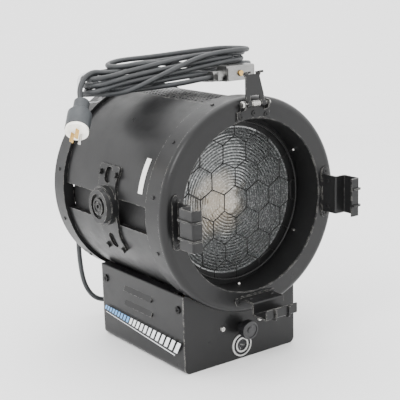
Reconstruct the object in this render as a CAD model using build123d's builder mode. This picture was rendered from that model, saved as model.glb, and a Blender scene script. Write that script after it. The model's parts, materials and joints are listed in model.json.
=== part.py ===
from build123d import *
import math
import os

os.makedirs("parts", exist_ok=True)

# Fresnel spotlight head. Millimetres, +Z up, front towards -Y.
# The origin is the middle of the underside of the base.

# ---------------------------------------------------------------- driving dimensions
AXIS_Z = 274.0  # height of the optical axis
SHEET = 2.0  # sheet metal thickness
GAP = 0.3  # clearance between separate pieces

BASE_HALF_X = 118.0
BASE_HALF_Y = 127.0
BASE_TOP = 135.0
BASE_BEND = 10.0

DRUM_R = 170.0
DRUM_FRONT = -113.7
DRUM_REAR = 145.7
SLOT_TOP = 15.0  # side channel edges, measured from the axis
SLOT_BOTTOM = -29.5
CHANNEL_X = 156.0

BAND_R = 176.0
BAND_FRONT = -152.0
BAND_REAR = -114.3
BEZEL_R = 178.0
BEZEL_FACE = -166.0
BEZEL_ROUND = 11.0
OPENING_R = 142.0
REAR_CAP_FRONT = 146.3
REAR_CAP_BACK = 182.0

LENS_R = 127.0
LENS_SEAT_Y = -108.0
GUARD_R = 134.0
GUARD_Y = -117.4
BARREL_SCREW_Y = -122.6

TRUNNION_Y = 6.0
TRUNNION_FACE = 190.0

EAR_R = 150.0
LATCH_PIN_Y = -174.0
LATCH_PIN_Z = AXIS_Z + 168.0

KNOB_Z = 57.0
SCREW_R = 5.0
RUNNING_FIT = 0.05
CARRIAGE_Y = 43.0
ROD_X = 143.0
ROD_Z = AXIS_Z - 60.0

CORD_R = 4.5

OPTICAL_AXIS = Axis((0, 0, AXIS_Z), (0, 1, 0))
# In this plane a point is (distance from the optical axis, position along Y).
PROFILE = Plane(origin=(0, 0, AXIS_Z), x_dir=(1, 0, 0), z_dir=(0, 0, 1))


# ---------------------------------------------------------------- helpers
def save(builder, name):
    """Label a finished sub-part and write its STEP file."""
    builder.part.label = name
    export_step(builder.part, f"parts/{name}.step")


def across(y, z=AXIS_Z):
    """Plane square to Y, facing the front. A positive extrude runs forward."""
    return Plane(origin=(0, y, z), x_dir=(1, 0, 0), z_dir=(0, -1, 0))


def radial(angle):
    """Unit vector out from the optical axis, in degrees from +X towards +Z."""
    return Vector(math.cos(math.radians(angle)), 0, math.sin(math.radians(angle)))


def station(angle):
    """Plane through the optical axis: local x is outward, local y is world Y."""
    out = radial(angle)
    return Plane(origin=(0, 0, AXIS_Z), x_dir=out, z_dir=out.cross(Vector(0, 1, 0)))


def on_drum(angle, radius, y):
    """Plane square to the radius at a place on the drum, facing outward."""
    out = radial(angle)
    return Plane(origin=out * radius + Vector(0, y, AXIS_Z), x_dir=(0, 1, 0), z_dir=out)


def side_plane(x, facing):
    """Plane square to X, facing +X or -X, with local y up."""
    return Plane(origin=(x, 0, 0), x_dir=(0, facing, 0), z_dir=(facing, 0, 0))


def add_tube(outer, inner, rear, front):
    """Add a plain ring about the optical axis to the part being built."""
    with BuildSketch(across(rear)) as annulus:
        Circle(outer)
        Circle(inner, mode=Mode.SUBTRACT)
    extrude(annulus.sketch, amount=rear - front)


def add_pan_screw(plane, head_r, head_h, shank_r, shank_length, cross=True):
    """Add one cross-slotted pan-head screw, its head standing on the plane."""
    with BuildSketch(plane) as head:
        Circle(head_r)
    extrude(head.sketch, amount=head_h, taper=18)
    with BuildSketch(plane.offset(-shank_length)) as shank:
        Circle(shank_r)
    extrude(shank.sketch, amount=shank_length)
    if cross:
        with BuildSketch(plane.offset(head_h)) as slot:
            Rectangle(head_r, head_r * 0.22)
            Rectangle(head_r * 0.22, head_r)
        extrude(slot.sketch, amount=-head_h * 0.45, mode=Mode.SUBTRACT)


# ---------------------------------------------------------------- base
PANEL_SCREW_X = 40.0
PANEL_SCREW_Z = 62.0
BADGE_Z = 24.5
GLAND_X = -20.0
GLAND_Z = 42.0
PORT_X = (-84.0, -52.0)
PORT_Z = 84.0
ROCKER_X = 66.0
ROCKER_Z = 40.0
DIMMER_X = 84.0
DIMMER_Z = 82.0
COVER_SCREW_Y = 112.0
COVER_SCREW_Z = 110.0


def wall_outline(clear_r):
    """Outline of an end wall of the base, scooped out for the drum."""
    with Locations((0, BASE_TOP / 2)):
        RectangleRounded(2 * BASE_HALF_X, BASE_TOP, BASE_BEND)
    with Locations((0, BASE_TOP * 0.75)):
        Rectangle(2 * BASE_HALF_X, BASE_TOP / 2)
    with Locations((0, AXIS_Z)):
        Circle(clear_r, mode=Mode.SUBTRACT)


with BuildPart() as base_chassis:
    floor_half_x = BASE_HALF_X - BASE_BEND - 0.2
    with BuildSketch(Plane.XY):
        Rectangle(2 * floor_half_x, 2 * BASE_HALF_Y - 2)
    extrude(amount=SHEET)
    with BuildSketch(across(-BASE_HALF_Y + SHEET, 0)):
        wall_outline(BAND_R + 1.4)
    extrude(amount=SHEET)
    with BuildSketch(across(BASE_HALF_Y, 0)):
        wall_outline(DRUM_R + GAP + 0.2)
    extrude(amount=SHEET)
    # holes in the front wall: focus shaft and bracket screws
    with BuildSketch(across(-BASE_HALF_Y + SHEET, 0)):
        with Locations((0, KNOB_Z)):
            Circle(SCREW_R + 1.5)
        with Locations((-PANEL_SCREW_X, PANEL_SCREW_Z), (PANEL_SCREW_X, PANEL_SCREW_Z)):
            Circle(2.3)
    extrude(amount=SHEET, mode=Mode.SUBTRACT)
    # holes in the rear wall: gland, data ports, rocker switch and dimmer shaft
    with BuildSketch(across(BASE_HALF_Y, 0)):
        with Locations((GLAND_X, GLAND_Z)):
            Circle(8.0)
        with Locations(*[(x, PORT_Z) for x in PORT_X]):
            Circle(10.0)
        with Locations((ROCKER_X, ROCKER_Z)):
            Rectangle(17, 25)
        with Locations((DIMMER_X, DIMMER_Z)):
            Circle(4.0)
    extrude(amount=SHEET, mode=Mode.SUBTRACT)
save(base_chassis, "base_chassis")

LOUVRE_LENGTH = 85.0
LOUVRE_Y = 7.0
LOUVRE_Z = (104.0, 78.0)
LOUVRE_RISE = 9.0
FLANGE_IN = 99.2  # inner edge of the top flange, just short of the drum

for side, facing in (("left", -1), ("right", 1)):
    cover_rear = BASE_HALF_Y - SHEET - 0.2
    wall_mid = facing * (BASE_HALF_X - SHEET / 2)
    with BuildPart() as side_cover:
        # sheet section: bottom bend, upright wall, top flange
        with BuildSketch(across(cover_rear, 0)):
            with BuildLine():
                FilletPolyline(
                    (facing * (BASE_HALF_X - BASE_BEND), SHEET / 2),
                    (wall_mid, SHEET / 2),
                    (wall_mid, BASE_TOP - SHEET / 2),
                    (facing * FLANGE_IN, BASE_TOP - SHEET / 2),
                    radius=[BASE_BEND - SHEET / 2 - 0.1, 1.6],
                )
            trace(line_width=SHEET)
        extrude(amount=2 * cover_rear)
        # the top flange stops behind the front band
        with BuildSketch(Plane.XY.offset(BASE_TOP - 3)):
            with Locations((facing * 105, -cover_rear)):
                Rectangle(20, 28, align=(Align.CENTER, Align.MIN))
        extrude(amount=3.5, mode=Mode.SUBTRACT)
        # louvres: a slot in the wall under a pressed-out hood
        for louvre_z in LOUVRE_Z:
            with BuildSketch(side_plane(facing * (BASE_HALF_X - SHEET), facing)):
                with Locations((facing * LOUVRE_Y, louvre_z)):
                    SlotOverall(LOUVRE_LENGTH, 5.0)
            extrude(amount=SHEET, mode=Mode.SUBTRACT)
            with BuildSketch(across(LOUVRE_Y + LOUVRE_LENGTH / 2, 0)):
                with BuildLine():
                    foot = facing * (BASE_HALF_X - 0.4)
                    Polyline(
                        (foot, louvre_z + LOUVRE_RISE),
                        (foot + facing * 4.6, louvre_z - 1.0),
                        (foot + facing * 3.6, louvre_z - 1.4),
                        (foot, louvre_z + LOUVRE_RISE - 3.6),
                        close=True,
                    )
                make_face()
            extrude(amount=LOUVRE_LENGTH)
        with BuildSketch(side_plane(facing * (BASE_HALF_X - SHEET), facing)):
            for hole_y in (-COVER_SCREW_Y, COVER_SCREW_Y):
                with Locations((facing * hole_y, COVER_SCREW_Z)):
                    Circle(2.8)
        extrude(amount=SHEET, mode=Mode.SUBTRACT)
    save(side_cover, f"side_cover_{side}")

with BuildPart() as base_screws:
    for facing in (-1, 1):
        for screw_y in (-COVER_SCREW_Y, COVER_SCREW_Y):
            head = Plane(
                origin=(facing * (BASE_HALF_X + 0.05), screw_y, COVER_SCREW_Z),
                x_dir=(0, 1, 0),
                z_dir=(facing, 0, 0),
            )
            add_pan_screw(head, 6.8, 2.6, 2.5, 8)
    for screw_x in (-PANEL_SCREW_X, PANEL_SCREW_X):
        head = Plane(
            origin=(screw_x, -BASE_HALF_Y - 0.05, PANEL_SCREW_Z),
            x_dir=(1, 0, 0),
            z_dir=(0, -1, 0),
        )
        add_pan_screw(head, 4.6, 2.8, 2.0, 10)
save(base_screws, "base_screws")

with BuildPart() as base_badge:
    with BuildSketch(across(-BASE_HALF_Y, BADGE_Z)):
        Circle(20.5)
    extrude(amount=2.2)
    with BuildSketch(across(-BASE_HALF_Y - 1.2, BADGE_Z)):
        Circle(17.2)
        Circle(14.4, mode=Mode.SUBTRACT)
        Circle(8.6)
    extrude(amount=2, mode=Mode.SUBTRACT)
    fillet(base_badge.faces().sort_by(Axis.Y)[0].outer_wire().edges(), 0.6)
save(base_badge, "base_badge")

with BuildPart() as power_supply:
    with BuildSketch(Plane.XY.offset(SHEET + 0.2)):
        with Locations((66, 5)):
            Rectangle(84, 170)
    extrude(amount=42)
    fillet(power_supply.edges().filter_by(Axis.Z), 2)
    with BuildSketch(Plane.XY.offset(SHEET + 42.2)):
        with Locations((66, 5)):
            with GridLocations(0, 12, 1, 11):
                SlotOverall(60, 5)
    extrude(amount=-1.5, mode=Mode.SUBTRACT)
save(power_supply, "power_supply")

with BuildPart() as control_board:
    with BuildSketch(Plane.XY.offset(10)):
        with Locations((-68, 0)):
            Rectangle(70, 110)
    extrude(amount=1.6)
    with BuildSketch(Plane.XY.offset(SHEET + 0.2)):
        with Locations((-68, 0)):
            with GridLocations(58, 98, 2, 2):
                Circle(3)
    extrude(amount=10 - SHEET - 0.2)
    with BuildSketch(Plane.XY.offset(11.6)):
        with Locations((-80, 25), (-55, 25)):
            Circle(9)
        with Locations((-68, -20)):
            Rectangle(36, 30)
    extrude(amount=16)
save(control_board, "control_board")

with BuildPart() as rear_ports:
    for port_x in PORT_X:
        with BuildSketch(across(BASE_HALF_Y + 2, PORT_Z)):
            with Locations((port_x, 0)):
                RectangleRounded(26, 31, 3)
        extrude(amount=2)
        with BuildSketch(across(BASE_HALF_Y + 8, PORT_Z)):
            with Locations((port_x, 0)):
                Circle(10.5)
        extrude(amount=6)
        with BuildSketch(across(BASE_HALF_Y, PORT_Z)):
            with Locations((port_x, 0)):
                Circle(9.6)
        extrude(amount=22)
    # frame round the rocker switch
    with BuildSketch(across(BASE_HALF_Y + 2, ROCKER_Z)):
        with Locations((ROCKER_X, 0)):
            RectangleRounded(22, 30, 2)
            Rectangle(14, 22, mode=Mode.SUBTRACT)
    extrude(amount=2)
    with BuildSketch(across(BASE_HALF_Y, ROCKER_Z)):
        with Locations((ROCKER_X, 0)):
            Rectangle(16.4, 24.4)
            Rectangle(14, 22, mode=Mode.SUBTRACT)
    extrude(amount=14)
save(rear_ports, "rear_ports")

with BuildPart() as power_rocker:
    # shallow V-shaped paddle on a hinge line at the wall
    with BuildSketch(side_plane(ROCKER_X - 6, 1)):
        with BuildLine():
            Polyline(
                (BASE_HALF_Y - 4, ROCKER_Z - 9.4),
                (BASE_HALF_Y + 5.2, ROCKER_Z - 9.0),
                (BASE_HALF_Y + 3.4, ROCKER_Z),
                (BASE_HALF_Y + 5.2, ROCKER_Z + 9.0),
                (BASE_HALF_Y - 4, ROCKER_Z + 9.4),
                close=True,
            )
        make_face()
    extrude(amount=12)
save(power_rocker, "power_rocker")

with BuildPart() as dimmer_knob:
    with BuildSketch(across(BASE_HALF_Y + 16, DIMMER_Z)):
        with Locations((DIMMER_X, 0)):
            Circle(11)
    extrude(amount=14.5)
    chamfer(dimmer_knob.faces().sort_by(Axis.Y)[-1].edges(), 1)
    with BuildSketch(across(BASE_HALF_Y + 20, DIMMER_Z)):
        with Locations((DIMMER_X, 0)):
            with PolarLocations(11.6, 16):
                Circle(1.1)
    extrude(amount=14, mode=Mode.SUBTRACT)
    with BuildSketch(across(BASE_HALF_Y + 17, DIMMER_Z)):
        with Locations((DIMMER_X, 6.5)):
            Rectangle(1.6, 7)
    extrude(amount=2, mode=Mode.SUBTRACT)
    with BuildSketch(across(BASE_HALF_Y + 2, DIMMER_Z)):
        with Locations((DIMMER_X, 0)):
            Circle(3.6)
    extrude(amount=16)
save(dimmer_knob, "dimmer_knob")

GLAND_TIP = 143.0
with BuildPart() as cord_gland:
    gland_spot = across(BASE_HALF_Y, GLAND_Z)
    with BuildSketch(gland_spot.offset(-9)):
        with Locations((GLAND_X, 0)):
            RegularPolygon(11, 6)
    extrude(amount=9)
    with BuildSketch(across(GLAND_TIP, GLAND_Z)):
        with Locations((GLAND_X, 0)):
            Circle(7)
    extrude(amount=GLAND_TIP - BASE_HALF_Y - 9, taper=-12)
    with BuildSketch(gland_spot):
        with Locations((GLAND_X, 0)):
            Circle(7.7)
    extrude(amount=10)
save(cord_gland, "cord_gland")

# ---------------------------------------------------------------- focus drive
SCREW_FRONT = -141.0
SCREW_REAR = 88.0
BEARING_Y = (-108.0, 74.0)

with BuildPart() as screw_bearings:
    for bearing_y in BEARING_Y:
        with BuildSketch(across(bearing_y + 5, 0)):
            with Locations((0, SHEET + 0.2)):
                Rectangle(22, KNOB_Z + 8, align=(Align.CENTER, Align.MIN))
            with Locations((0, KNOB_Z)):
                Circle(SCREW_R + RUNNING_FIT, mode=Mode.SUBTRACT)
        extrude(amount=10)
save(screw_bearings, "screw_bearings")

with BuildPart() as lead_screw:
    with BuildSketch(across(SCREW_REAR, KNOB_Z)):
        Circle(SCREW_R)
    extrude(amount=SCREW_REAR - SCREW_FRONT)
    # thrust collars either side of the rear bearing
    for collar_rear in (BEARING_Y[1] - 5.5, BEARING_Y[1] + 9.5):
        with BuildSketch(across(collar_rear, KNOB_Z)):
            Circle(8)
        extrude(amount=4)
    chamfer(lead_screw.edges().filter_by(GeomType.CIRCLE).sort_by(Axis.Y)[-1], 1)
save(lead_screw, "lead_screw")

with BuildPart() as focus_knob:
    with BuildSketch(across(-141, KNOB_Z)):
        Circle(16)
    extrude(amount=12)
    fillet(focus_knob.faces().sort_by(Axis.Y)[0].edges(), 1.5)
    with BuildSketch(across(-141, KNOB_Z)):
        with PolarLocations(16.4, 32):
            Circle(1.0)
    extrude(amount=12, mode=Mode.SUBTRACT)
    # hub that reaches back over the shaft
    with BuildSketch(across(-128.2, KNOB_Z)):
        Circle(9)
        Circle(SCREW_R, mode=Mode.SUBTRACT)
    extrude(amount=12.8)
    # dished face with a raised centre
    with BuildSketch(across(-151.8, KNOB_Z)):
        Circle(13)
        Circle(5.5, mode=Mode.SUBTRACT)
    extrude(amount=3, mode=Mode.SUBTRACT)
save(focus_knob, "focus_knob")

with BuildPart() as lead_nut:
    with BuildSketch(across(CARRIAGE_Y + 8, KNOB_Z)):
        RectangleRounded(26, 26, 3)
        Circle(SCREW_R + RUNNING_FIT, mode=Mode.SUBTRACT)
    extrude(amount=22)
save(lead_nut, "lead_nut")

# ---------------------------------------------------------------- lamp carriage
with BuildPart() as guide_rods:
    for rod_x in (-ROD_X, ROD_X):
        with BuildSketch(across(137.8, ROD_Z)):
            with Locations((rod_x, 0)):
                Circle(4)
        extrude(amount=137.8 + 110.8)
save(guide_rods, "guide_rods")

with BuildPart() as carriage:
    with BuildSketch(across(CARRIAGE_Y, 0)):
        with Locations((0, ROD_Z)):
            RectangleRounded(2 * ROD_X + 8, 20, 3)
        with Locations((0, AXIS_Z)):
            RectangleRounded(130, 130, 8)
        with Locations((0, KNOB_Z + 13)):
            Rectangle(20, ROD_Z - KNOB_Z - 13, align=(Align.CENTER, Align.MIN))
    extrude(amount=3)
    with BuildSketch(across(CARRIAGE_Y + 14, ROD_Z)):
        with Locations((-ROD_X, 0), (ROD_X, 0)):
            Circle(8)
    extrude(amount=28)
    with BuildSketch(across(CARRIAGE_Y + 14, ROD_Z)):
        with Locations((-ROD_X, 0), (ROD_X, 0)):
            Circle(4 + RUNNING_FIT)
    extrude(amount=28, mode=Mode.SUBTRACT)
save(carriage, "carriage")

with BuildPart() as heatsink:
    sink_rear = CARRIAGE_Y + 46
    with BuildSketch(across(CARRIAGE_Y + 6)):
        Rectangle(116, 116)
    extrude(amount=6)
    with BuildSketch(across(sink_rear)):
        with GridLocations(8, 0, 15, 1):
            Rectangle(2, 116)
    extrude(amount=40)
save(heatsink, "heatsink")

with BuildPart() as fan_frame:
    with BuildSketch(across(sink_rear + 25)):
        RectangleRounded(116, 116, 5)
        Circle(54.5, mode=Mode.SUBTRACT)
        with GridLocations(104, 104, 2, 2):
            Circle(2.2, mode=Mode.SUBTRACT)
    extrude(amount=25)
    # motor mount on three struts at the back
    with BuildSketch(across(sink_rear + 25)):
        Circle(20)
        with PolarLocations(37, 3):
            Rectangle(38, 5)
    extrude(amount=3)
save(fan_frame, "fan_frame")

with BuildPart() as fan_rotor:
    hub_rear = sink_rear + 21.5
    with BuildSketch(across(hub_rear)):
        Circle(18)
    extrude(amount=19)
    fillet(fan_rotor.faces().sort_by(Axis.Y)[0].edges(), 2)
    # seven pitched blades, each a thin slab turned about its own radius
    for blade in range(7):
        angle = blade * 360 / 7
        out = radial(angle)
        pitch = out.cross(Vector(0, 1, 0)).rotate(Axis((0, 0, 0), tuple(out)), 40)
        root = Plane(origin=out * 16 + Vector(0, sink_rear + 12, AXIS_Z), x_dir=pitch, z_dir=out)
        with BuildSketch(root):
            RectangleRounded(22, 1.6, 0.7)
        extrude(amount=36)
save(fan_rotor, "fan_rotor")

with BuildPart() as led_module:
    with BuildSketch(across(CARRIAGE_Y - 3)):
        Circle(38)
    extrude(amount=6)
    with BuildSketch(across(CARRIAGE_Y - 9)):
        Circle(26)
    extrude(amount=3, taper=25)
    with BuildSketch(across(CARRIAGE_Y - 9)):
        with PolarLocations(32, 4, start_angle=45):
            Circle(3)
    extrude(amount=2)
save(led_module, "led_module")

# ---------------------------------------------------------------- drum
LIP_IN = 158.0
VENT_HALF_X = 43.0
VENT_FRONT = -92.0
VENT_REAR = 126.0
SLOT_HALF_X = 15.0
SLOT_FRONT = -84.0
SLOT_REAR = 60.0

with BuildPart() as drum_upper_shell:
    with BuildSketch(across(DRUM_REAR)):
        Circle(DRUM_R)
        Circle(DRUM_R - SHEET, mode=Mode.SUBTRACT)
        with Locations((0, SLOT_TOP)):
            Rectangle(400, 400, align=(Align.CENTER, Align.MAX), mode=Mode.SUBTRACT)
    extrude(amount=DRUM_REAR - DRUM_FRONT)
    with BuildSketch(Plane.XY.offset(AXIS_Z + 100)):
        with Locations((0, (VENT_FRONT + VENT_REAR) / 2)):
            Rectangle(2 * VENT_HALF_X, VENT_REAR - VENT_FRONT)
    extrude(amount=100, mode=Mode.SUBTRACT)
save(drum_upper_shell, "drum_upper_shell")

with BuildPart() as drum_lower_shell:
    with BuildSketch(across(DRUM_REAR)):
        Circle(DRUM_R)
        Circle(DRUM_R - SHEET, mode=Mode.SUBTRACT)
        with Locations((0, SLOT_BOTTOM)):
            Rectangle(400, 400, align=(Align.CENTER, Align.MIN), mode=Mode.SUBTRACT)
        # lips turned in along both upper edges
        for facing in (-1, 1):
            with Locations((facing * (LIP_IN + 166.2) / 2, SLOT_BOTTOM - SHEET / 2)):
                Rectangle(166.2 - LIP_IN, SHEET)
    extrude(amount=DRUM_REAR - DRUM_FRONT)
    # slot for the carriage arm
    with BuildSketch(Plane.XY.offset(AXIS_Z - 180)):
        with Locations((0, (SLOT_FRONT + SLOT_REAR) / 2)):
            RectangleRounded(2 * SLOT_HALF_X, SLOT_REAR - SLOT_FRONT, 4)
    extrude(amount=60, mode=Mode.SUBTRACT)
save(drum_lower_shell, "drum_lower_shell")

with BuildPart() as top_vent:
    with BuildSketch(Plane.XY.offset(AXIS_Z + 100)):
        with Locations((0, (VENT_FRONT + VENT_REAR) / 2)):
            Rectangle(2 * (VENT_HALF_X - GAP), VENT_REAR - VENT_FRONT - 2 * GAP)
            with GridLocations(9, 9, 9, 23):
                Circle(2.3, mode=Mode.SUBTRACT)
    extrude(amount=100)
    with BuildSketch(across(DRUM_REAR)):
        Circle(DRUM_R)
        Circle(DRUM_R - SHEET, mode=Mode.SUBTRACT)
    extrude(amount=DRUM_REAR - DRUM_FRONT, mode=Mode.INTERSECT)
save(top_vent, "top_vent")

for side, facing in (("left", -1), ("right", 1)):
    with BuildPart() as side_channel:
        # shallow channel that closes the slot between the two shells
        with BuildSketch(across(DRUM_REAR - 5)):
            with BuildLine():
                Polyline(
                    (facing * 165.2, SLOT_TOP + 2.6),
                    (facing * CHANNEL_X, SLOT_TOP + 2.6),
                    (facing * CHANNEL_X, SLOT_BOTTOM - 4.2),
                    (facing * 163.0, SLOT_BOTTOM - 4.2),
                )
            trace(line_width=1.5)
        extrude(amount=DRUM_REAR - DRUM_FRONT - 9)
    save(side_channel, f"side_channel_{side}")



def notch_for_channels(rear, thickness):
    """Cut a bulkhead back from the side channels and the shell's lips."""
    with BuildSketch(across(rear)) as notches:
        with Locations((-(CHANNEL_X + 9), -8), (CHANNEL_X + 9, -8)):
            Rectangle(22, 56)
    extrude(notches.sketch, amount=thickness, mode=Mode.SUBTRACT)


with BuildPart() as front_bulkhead:
    add_tube(DRUM_R - SHEET - GAP, OPENING_R + SHEET + GAP, -110.9, -113.0)
    notch_for_channels(-110.9, 3)
save(front_bulkhead, "front_bulkhead")

with BuildPart() as rear_bulkhead:
    add_tube(DRUM_R - SHEET - GAP, 62, 140.3, 138.0)
    with BuildSketch(across(140.3)):
        with PolarLocations(112, 18):
            SlotOverall(54, 9)
    extrude(amount=3, mode=Mode.SUBTRACT)
    notch_for_channels(140.3, 3)
save(rear_bulkhead, "rear_bulkhead")

# ---------------------------------------------------------------- front
RIM_SCREW_ANGLES = tuple(range(18, 378, 30))
BAND_SCREW_Y = (BAND_FRONT + BAND_REAR) / 2
CAP_SCREW_Y = (REAR_CAP_FRONT + REAR_CAP_BACK) / 2


def drill_rim(screw_y):
    """Clearance holes for the rim screws round a band."""
    for angle in RIM_SCREW_ANGLES:
        with BuildSketch(on_drum(angle, BAND_R - 6, screw_y)) as hole:
            Circle(1.7)
        extrude(hole.sketch, amount=8, mode=Mode.SUBTRACT)


with BuildPart() as front_band:
    add_tube(BAND_R, BAND_R - SHEET, BAND_REAR, BAND_FRONT)
    drill_rim(BAND_SCREW_Y)
    add_tube(BAND_R - 1, DRUM_R - 14, BAND_REAR, BAND_REAR - SHEET)
save(front_band, "front_band")

with BuildPart() as bezel:
    # dished front ring with a rounded shoulder and a rolled inner lip
    with BuildSketch(PROFILE):
        with BuildLine():
            shoulder_r = BEZEL_R - BEZEL_ROUND
            shoulder_y = BEZEL_FACE + BEZEL_ROUND
            slant = math.sqrt(0.5)
            Line((OPENING_R + 1.2, BEZEL_FACE), (shoulder_r, BEZEL_FACE))
            ThreePointArc(
                (shoulder_r, BEZEL_FACE),
                (shoulder_r + BEZEL_ROUND * slant, shoulder_y - BEZEL_ROUND * slant),
                (BEZEL_R, shoulder_y),
            )
            Polyline(
                (BEZEL_R, shoulder_y),
                (BEZEL_R, BAND_FRONT - GAP),
                (BEZEL_R - 3, BAND_FRONT - GAP),
                (BEZEL_R - 3, shoulder_y),
            )
            inner_round = BEZEL_ROUND - 3
            ThreePointArc(
                (BEZEL_R - 3, shoulder_y),
                (shoulder_r + inner_round * slant, shoulder_y - inner_round * slant),
                (shoulder_r, BEZEL_FACE + 3),
            )
            Polyline(
                (shoulder_r, BEZEL_FACE + 3),
                (OPENING_R, BEZEL_FACE + 3),
                (OPENING_R, BEZEL_FACE + 1.2),
                (OPENING_R + 1.2, BEZEL_FACE),
            )
        make_face()
    revolve(axis=OPTICAL_AXIS)
save(bezel, "bezel")

BARREL_SCREW_ANGLES = (30, 90, 150, 210, 270, 330)
with BuildPart() as barrel:
    add_tube(OPENING_R + SHEET, OPENING_R, LENS_SEAT_Y, BEZEL_FACE + 3.1)
    add_tube(OPENING_R + 1, LENS_R - 3, LENS_SEAT_Y, LENS_SEAT_Y - SHEET)
    for angle in BARREL_SCREW_ANGLES:
        with BuildSketch(on_drum(angle, OPENING_R - 4, BARREL_SCREW_Y)):
            Circle(1.9)
        extrude(amount=10, mode=Mode.SUBTRACT)
save(barrel, "barrel")

with BuildPart() as barrel_screws:
    for angle in BARREL_SCREW_ANGLES:
        inward = radial(angle) * -1
        seat = radial(angle) * (OPENING_R - 0.15) + Vector(0, BARREL_SCREW_Y, AXIS_Z)
        head = Plane(origin=seat, x_dir=(0, 1, 0), z_dir=inward)
        add_pan_screw(head, 3.4, 2.6, 1.6, 6, cross=False)
save(barrel_screws, "barrel_screws")

LENS_RINGS = 17
LENS_BUTTON_R = 20.0
LENS_FLAT_Y = LENS_SEAT_Y + 9.0
with BuildPart() as fresnel_lens:
    ring_pitch = (LENS_R - 5 - LENS_BUTTON_R) / LENS_RINGS
    peak = LENS_SEAT_Y + 1.0
    with BuildSketch(PROFILE):
        with BuildLine():
            Line((0, LENS_FLAT_Y), (0, peak - 1.5))
            button = ThreePointArc(
                (0, peak - 1.5), (LENS_BUTTON_R / 2, peak - 0.8), (LENS_BUTTON_R, peak + 2)
            )
            # each ring is a prism that steps up and slopes away from the centre
            steps = [(LENS_BUTTON_R, peak + 2)]
            for ring in range(LENS_RINGS):
                inner = LENS_BUTTON_R + ring * ring_pitch
                steps.append((inner, peak - 0.5))
                steps.append((inner + ring_pitch, peak + 2.2))
            steps += [(LENS_R - 5, peak - 0.5), (LENS_R, peak - 0.5), (LENS_R, LENS_FLAT_Y), (0, LENS_FLAT_Y)]
            Polyline(*steps)
        make_face()
    revolve(axis=OPTICAL_AXIS)
save(fresnel_lens, "fresnel_lens")

with BuildPart() as lens_retainer:
    add_tube(OPENING_R - 2, LENS_R - 4, LENS_FLAT_Y + 3, LENS_FLAT_Y + 0.2)
    add_tube(OPENING_R - 2, LENS_R + 1.5, LENS_FLAT_Y + 0.3, LENS_SEAT_Y + 0.2)
save(lens_retainer, "lens_retainer")

GUARD_CELL = 27.5  # side of a hexagonal mesh cell
GUARD_WIRE = 1.6


def guard_cells():
    """Centres of the hexagonal cells, in rows, that reach inside the guard ring."""
    width = GUARD_CELL * math.sqrt(3)
    for row in range(-4, 5):
        for column in range(-4, 5):
            x = (column + 0.5 * (row % 2)) * width
            z = row * 1.5 * GUARD_CELL
            if math.hypot(x, z) < GUARD_R + GUARD_CELL - 4:
                yield (x, z)


with BuildPart() as wire_guard:
    with BuildSketch(across(GUARD_Y)):
        Circle(GUARD_R - 1)
        with Locations(*guard_cells()):
            RegularPolygon(GUARD_CELL - GUARD_WIRE / math.sqrt(3), 6, rotation=30, mode=Mode.SUBTRACT)
    extrude(amount=GUARD_WIRE)
    add_tube(GUARD_R, GUARD_R - 2.4, GUARD_Y + 0.4, GUARD_Y - GUARD_WIRE - 0.4)
    # tabs that sit behind the barrel screws
    with BuildSketch(across(GUARD_Y)):
        with PolarLocations(GUARD_R + 3, 6, start_angle=30):
            Rectangle(8, 9)
    extrude(amount=GUARD_WIRE)
save(wire_guard, "wire_guard")

# ---------------------------------------------------------------- accessory ears
EAR_HALF = 32.0  # half the length of an ear along the rim
EAR_SHEET = 2.5
EAR_STEP_Y = -199.0
EAR_TAB_Y = -232.0
EAR_OUT_R = 169.5
EAR_TAB_R = 153.5
RIVET_SPREAD = 36.0
EAR_RIVET_R = 154.0
STRAP_SPREAD = 14.0
RISER_SCREWS = (-22.0, 22.0)
RISER_SCREW_Y = BEZEL_FACE - 15
EARS = {"right": 0, "left": 180, "bottom": 270}
EAR_FOOT_Y = BEZEL_FACE - 0.05


for side, angle in EARS.items():
    ear_plane = station(angle)
    with BuildPart() as ear:
        # folded sheet: riser, outward step, second riser and inward tab
        with BuildSketch(ear_plane.offset(-EAR_HALF)):
            with BuildLine():
                FilletPolyline(
                    (EAR_R, EAR_FOOT_Y),
                    (EAR_R, EAR_STEP_Y),
                    (EAR_OUT_R, EAR_STEP_Y),
                    (EAR_OUT_R, EAR_TAB_Y),
                    (EAR_TAB_R, EAR_TAB_Y),
                    radius=[2.0, 2.0, 2.0],
                )
            trace(line_width=EAR_SHEET)
        extrude(amount=2 * EAR_HALF)
        # foot plate with a rivet lug at each end
        foot = Plane(
            origin=radial(angle) * EAR_RIVET_R + Vector(0, EAR_FOOT_Y, AXIS_Z),
            x_dir=ear_plane.z_dir,
            z_dir=(0, -1, 0),
        )
        with BuildSketch(foot):
            SlotOverall(2 * RIVET_SPREAD + 15, 15)
            with Locations((RIVET_SPREAD, 0), (-RIVET_SPREAD, 0)):
                Circle(2.3, mode=Mode.SUBTRACT)
        extrude(amount=EAR_SHEET)
        # small holes for the two riser screws
        for spread in RISER_SCREWS:
            inside = radial(angle) * (EAR_R - 4) + ear_plane.z_dir * spread
            spot = Plane(
                origin=inside + Vector(0, RISER_SCREW_Y, AXIS_Z), x_dir=(0, 1, 0), z_dir=radial(angle)
            )
            with BuildSketch(spot):
                Circle(1.8)
            extrude(amount=8, mode=Mode.SUBTRACT)
    save(ear, f"ear_{side}")

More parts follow.
